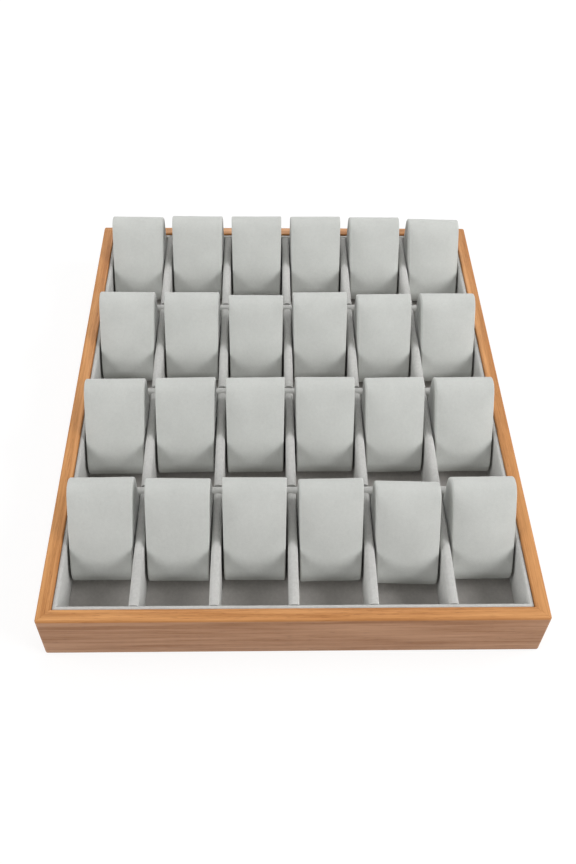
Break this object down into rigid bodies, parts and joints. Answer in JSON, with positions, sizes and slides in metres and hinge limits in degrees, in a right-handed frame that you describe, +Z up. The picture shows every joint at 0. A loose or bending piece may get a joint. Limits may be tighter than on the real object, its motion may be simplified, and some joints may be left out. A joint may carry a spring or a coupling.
{
  "type": "watch display tray",
  "caption": "Open wooden tray with a fabric-lined grid of cells, each holding a soft wedge-shaped pillow for showing a watch.",
  "frame": {"origin": "centre of the tray's underside", "axes": "+X to the right and +Y to the back as the pillows face the viewer at -Y, +Z up"},
  "size_m": [0.35, 0.43, 0.0737],
  "materials": {
    "oak": "satin clear-lacquered oak",
    "base_board": "plain unfinished board",
    "velvet_liner": "matt short-pile velvet over board",
    "velvet_pillow": "matt short-pile velvet over foam"
  },
  "bodies": {
    "root": {"front_rail": "oak", "right_rail": "oak", "back_rail": "oak", "left_rail": "oak", "base_panel": "base_board", "liner_floor": "velvet_liner", "liner_front_wall": "velvet_liner", "liner_right_wall": "velvet_liner", "liner_back_wall": "velvet_liner", "liner_left_wall": "velvet_liner", "long_divider_1": "velvet_liner", "long_divider_2": "velvet_liner", "long_divider_3": "velvet_liner", "long_divider_4": "velvet_liner", "long_divider_5": "velvet_liner", "cross_divider_1": "velvet_liner", "cross_divider_2": "velvet_liner", "cross_divider_3": "velvet_liner", "pillow_row1_col1": "velvet_pillow", "pillow_row1_col2": "velvet_pillow", "pillow_row1_col3": "velvet_pillow", "pillow_row1_col4": "velvet_pillow", "pillow_row1_col5": "velvet_pillow", "pillow_row1_col6": "velvet_pillow", "pillow_row2_col1": "velvet_pillow", "pillow_row2_col2": "velvet_pillow", "pillow_row2_col3": "velvet_pillow", "pillow_row2_col4": "velvet_pillow", "pillow_row2_col5": "velvet_pillow", "pillow_row2_col6": "velvet_pillow", "pillow_row3_col1": "velvet_pillow", "pillow_row3_col2": "velvet_pillow", "pillow_row3_col3": "velvet_pillow", "pillow_row3_col4": "velvet_pillow", "pillow_row3_col5": "velvet_pillow", "pillow_row3_col6": "velvet_pillow", "pillow_row4_col1": "velvet_pillow", "pillow_row4_col2": "velvet_pillow", "pillow_row4_col3": "velvet_pillow", "pillow_row4_col4": "velvet_pillow", "pillow_row4_col5": "velvet_pillow", "pillow_row4_col6": "velvet_pillow"}
  },
  "joints": []
}
